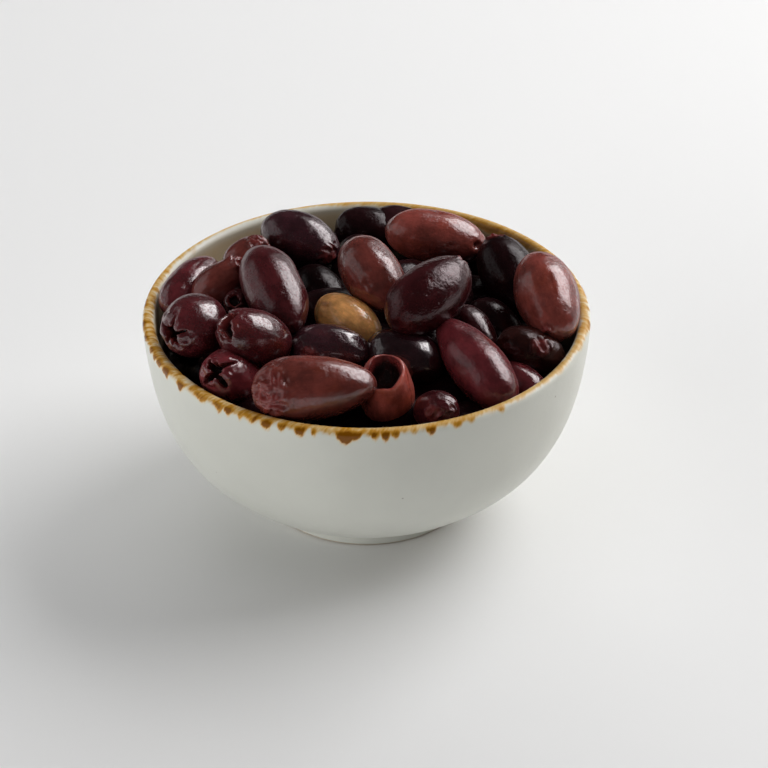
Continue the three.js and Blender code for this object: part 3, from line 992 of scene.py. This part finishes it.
def make_core(bowl, settings):
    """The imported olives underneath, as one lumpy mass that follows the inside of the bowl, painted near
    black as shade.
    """
    dome, outline = core_outline(bowl)
    grid, _ = thrown(outline, CORE_COLUMNS)
    cells = [noise.voronoi(place)[0][0] for place in (grid / CORE_LUMP_MM).reshape(-1, 3).tolist()]
    sunk = CORE_LUMP_DEPTH_MM * np.array(cells).reshape(grid.shape[:2]) ** 2
    fade = np.clip((len(dome) + CORE_FADE_END - np.arange(len(outline))) / CORE_FADE_ROWS, 0, 1)
    grid = grid - outward(grid) * (sunk * fade[:, None])[..., None]
    points, faces = closed_skin((0, 0, CORE_TOP_MM), grid, (0, 0, FLOOR_HEIGHT_MM + CORE_GAP_MM))
    values = skin_values(points, CORE_PAINTED_SHADE, CORE_WARM, CORE_WET, np.zeros(len(points)))
    finish = skin_finish("heap_core_skin", settings.below, settings, *CORE_SKIN)
    new_piece("heap_core", [(points * MM, faces, values)], finish, ["olives"])


# ---------------------------------------------------------------- the floor, the light and the camera

CAMERA_ELEVATION = math.radians(33.1)
CAMERA_DISTANCE = 0.6
CAMERA_NEAR, CAMERA_FAR = 0.01, 30.0
CAMERA_LENS_MM = 107.1
# The point that the camera and the lights look at.
AIM = Vector((0.00445, 0.0, 0.03167))
# How bright the studio is where the camera sees past the floor.
BACKDROP = 0.8

# Each light: its heading round the bowl from +X and its elevation in degrees, its distance, width
# and height in metres, the brightness of its face, whether it lights matt surfaces, whether it is
# seen in glossy ones, and its colour.
Softbox = namedtuple(
    "Softbox", "name heading elevation distance width height brightness lighting mirrored colour",
    defaults=((1.0, 1.0, 1.0),),
)
SOFTBOXES = [
    Softbox("key_softbox", 31, 41, 1.3, 1.10, 0.82, 4.9, True, True),
    Softbox("wide_gleam", 34, 30, 1.25, 1.85, 1.45, 0.65, False, True),
    Softbox("broad_fill", 178, 22, 1.2, 1.50, 1.00, 0.45, True, True),
    Softbox("low_fill", 210, 13, 2.1, 2.10, 0.74, 3.9, True, False),
    Softbox("back_panel", 80, 16, 4.0, 4.00, 1.20, 5.5, True, False),
    Softbox("top_panel", 90, 88, 1.5, 1.40, 1.40, 0.7, True, False),
    Softbox("warm_card", 22, 11, 2.1, 1.40, 0.70, 1.1, True, False, paint(255, 224, 190)),
]


def stand_off(holder, way, distance):
    """Stands a light or the camera off from the dish, looking back at it."""
    holder.location = AIM + way * distance
    holder.rotation_mode = "QUATERNION"
    holder.rotation_quaternion = way.to_track_quat("Z", "Y")
    bpy.context.scene.collection.objects.link(holder)


def add_softbox(box, brightness):
    heading, elevation = math.radians(box.heading), math.radians(box.elevation)
    level = math.cos(elevation)
    way = Vector((level * math.cos(heading), level * math.sin(heading), math.sin(elevation)))
    lamp = bpy.data.lights.new(box.name, "AREA")
    lamp.shape = "RECTANGLE"
    lamp.size, lamp.size_y = box.width, box.height
    lamp.color = box.colour
    lamp.energy = math.pi * box.width * box.height * box.brightness * brightness
    holder = bpy.data.objects.new(box.name, lamp)
    holder.visible_diffuse = box.lighting
    holder.visible_glossy = box.mirrored
    holder.visible_camera = False
    stand_off(holder, way, box.distance)


def lay_floor(settings):
    half = settings.floor_width / 2
    corners = [(-half, -half, 0), (half, -half, 0), (half, half, 0), (-half, half, 0)]
    mesh = bpy.data.meshes.new("floor")
    mesh.from_pydata(corners, [], [(0, 1, 2, 3)])
    mesh.materials.append(floor_finish(settings.floor))
    floor = bpy.data.objects.new("floor", mesh)
    bpy.context.scene.collection.objects.link(floor)


def light_studio(settings):
    """Sets up the softboxes, and a world that is dim as a light and bright where the camera sees it."""
    for box in SOFTBOXES:
        add_softbox(box, settings.brightness)
    world = bpy.data.worlds.new("studio")
    bpy.context.scene.world = world
    made = Finish(world)
    seen = made.add("ShaderNodeLightPath", {}, {}, "Is Camera Ray")
    strength = seen * (BACKDROP - settings.sky) + settings.sky
    light = made.add("ShaderNodeBackground", {}, {"Color": (1.0, 1.0, 1.0, 1.0), "Strength": strength})
    made.add("ShaderNodeOutputWorld", {}, {"Surface": light})


def make_stage(settings):
    scene = bpy.context.scene
    scene.view_settings.view_transform = "Standard"
    lay_floor(settings)
    light_studio(settings)
    camera = bpy.data.objects.new("camera", bpy.data.cameras.new("camera"))
    camera.data.lens = CAMERA_LENS_MM
    camera.data.clip_start, camera.data.clip_end = CAMERA_NEAR, CAMERA_FAR
    back = Vector((0, -math.cos(CAMERA_ELEVATION), math.sin(CAMERA_ELEVATION)))
    stand_off(camera, back, CAMERA_DISTANCE)
    scene.camera = camera


# ---------------------------------------------------------------- the add-on


class DISH_OT_stage(bpy.types.Operator):
    """Lay the floor and set the lights and the camera"""

    bl_idname = "dish.stage"
    bl_label = "Stage"

    def execute(self, context):
        make_stage(context.scene.dish_stage)
        return {"FINISHED"}


class DISH_OT_bowl(bpy.types.Operator):
    """Throw, glaze and brush the bowl"""

    bl_idname = "dish.bowl"
    bl_label = "Bowl"

    def execute(self, context):
        make_bowl(context.scene.dish_bowl)
        return {"FINISHED"}


class DISH_OT_core(bpy.types.Operator):
    """Fill the bowl with the hidden olives under the heap"""

    bl_idname = "dish.core"
    bl_label = "Core of the heap"

    def execute(self, context):
        make_core(context.scene.dish_bowl, context.scene.dish_olives)
        return {"FINISHED"}


class DISH_OT_red_brown(bpy.types.Operator):
    """Lay the red-brown olives"""

    bl_idname = "dish.red_brown_olives"
    bl_label = "Red-brown olives"

    def execute(self, context):
        make_olives("red_brown_olives", "red_brown", context.scene.dish_olives)
        return {"FINISHED"}


class DISH_OT_plum(bpy.types.Operator):
    """Lay the plum-coloured olives"""

    bl_idname = "dish.plum_olives"
    bl_label = "Plum olives"

    def execute(self, context):
        make_olives("plum_olives", "plum", context.scene.dish_olives)
        return {"FINISHED"}


class DISH_OT_black(bpy.types.Operator):
    """Lay the darkest olives"""

    bl_idname = "dish.black_olives"
    bl_label = "Black olives"

    def execute(self, context):
        make_olives("black_olives", "black", context.scene.dish_olives)
        return {"FINISHED"}


class DISH_OT_tan(bpy.types.Operator):
    """Lay the one pale olive"""

    bl_idname = "dish.tan_olive"
    bl_label = "Tan olive"

    def execute(self, context):
        make_olives("tan_olive", "tan", context.scene.dish_olives)
        return {"FINISHED"}


class DISH_OT_below(bpy.types.Operator):
    """Lay the lower olives that show between the others"""

    bl_idname = "dish.lower_olives"
    bl_label = "Lower olives"

    def execute(self, context):
        make_olives("lower_olives", "below", context.scene.dish_olives)
        return {"FINISHED"}


STEPS = (
    DISH_OT_stage, DISH_OT_bowl, DISH_OT_core, DISH_OT_red_brown,
    DISH_OT_plum, DISH_OT_black, DISH_OT_tan, DISH_OT_below,
)


class DISH_PT_panel(bpy.types.Panel):
    """Lists the steps that make the dish"""

    bl_idname = "DISH_PT_panel"
    bl_label = "Dish of olives"
    bl_space_type = "VIEW_3D"
    bl_region_type = "UI"
    bl_category = "Olives"

    def draw(self, context):
        for step in STEPS:
            self.layout.operator(step.bl_idname)


SETTINGS = {"dish_bowl": BowlSettings, "dish_olives": OliveSettings, "dish_stage": StageSettings}


def register():
    for kind in (*SETTINGS.values(), *STEPS, DISH_PT_panel):
        bpy.utils.register_class(kind)
    for name, kind in SETTINGS.items():
        setattr(bpy.types.Scene, name, bpy.props.PointerProperty(type=kind))


def unregister():
    for name in SETTINGS:
        delattr(bpy.types.Scene, name)
    for kind in reversed((*SETTINGS.values(), *STEPS, DISH_PT_panel)):
        bpy.utils.unregister_class(kind)


def main():
    register()
    bpy.ops.dish.stage()
    bpy.ops.dish.bowl()
    bpy.ops.dish.core()
    bpy.ops.dish.red_brown_olives()
    bpy.ops.dish.plum_olives()
    bpy.ops.dish.black_olives()
    bpy.ops.dish.tan_olive()
    bpy.ops.dish.lower_olives()
    bpy.context.view_layer.update()


if __name__ == "__main__":
    main()
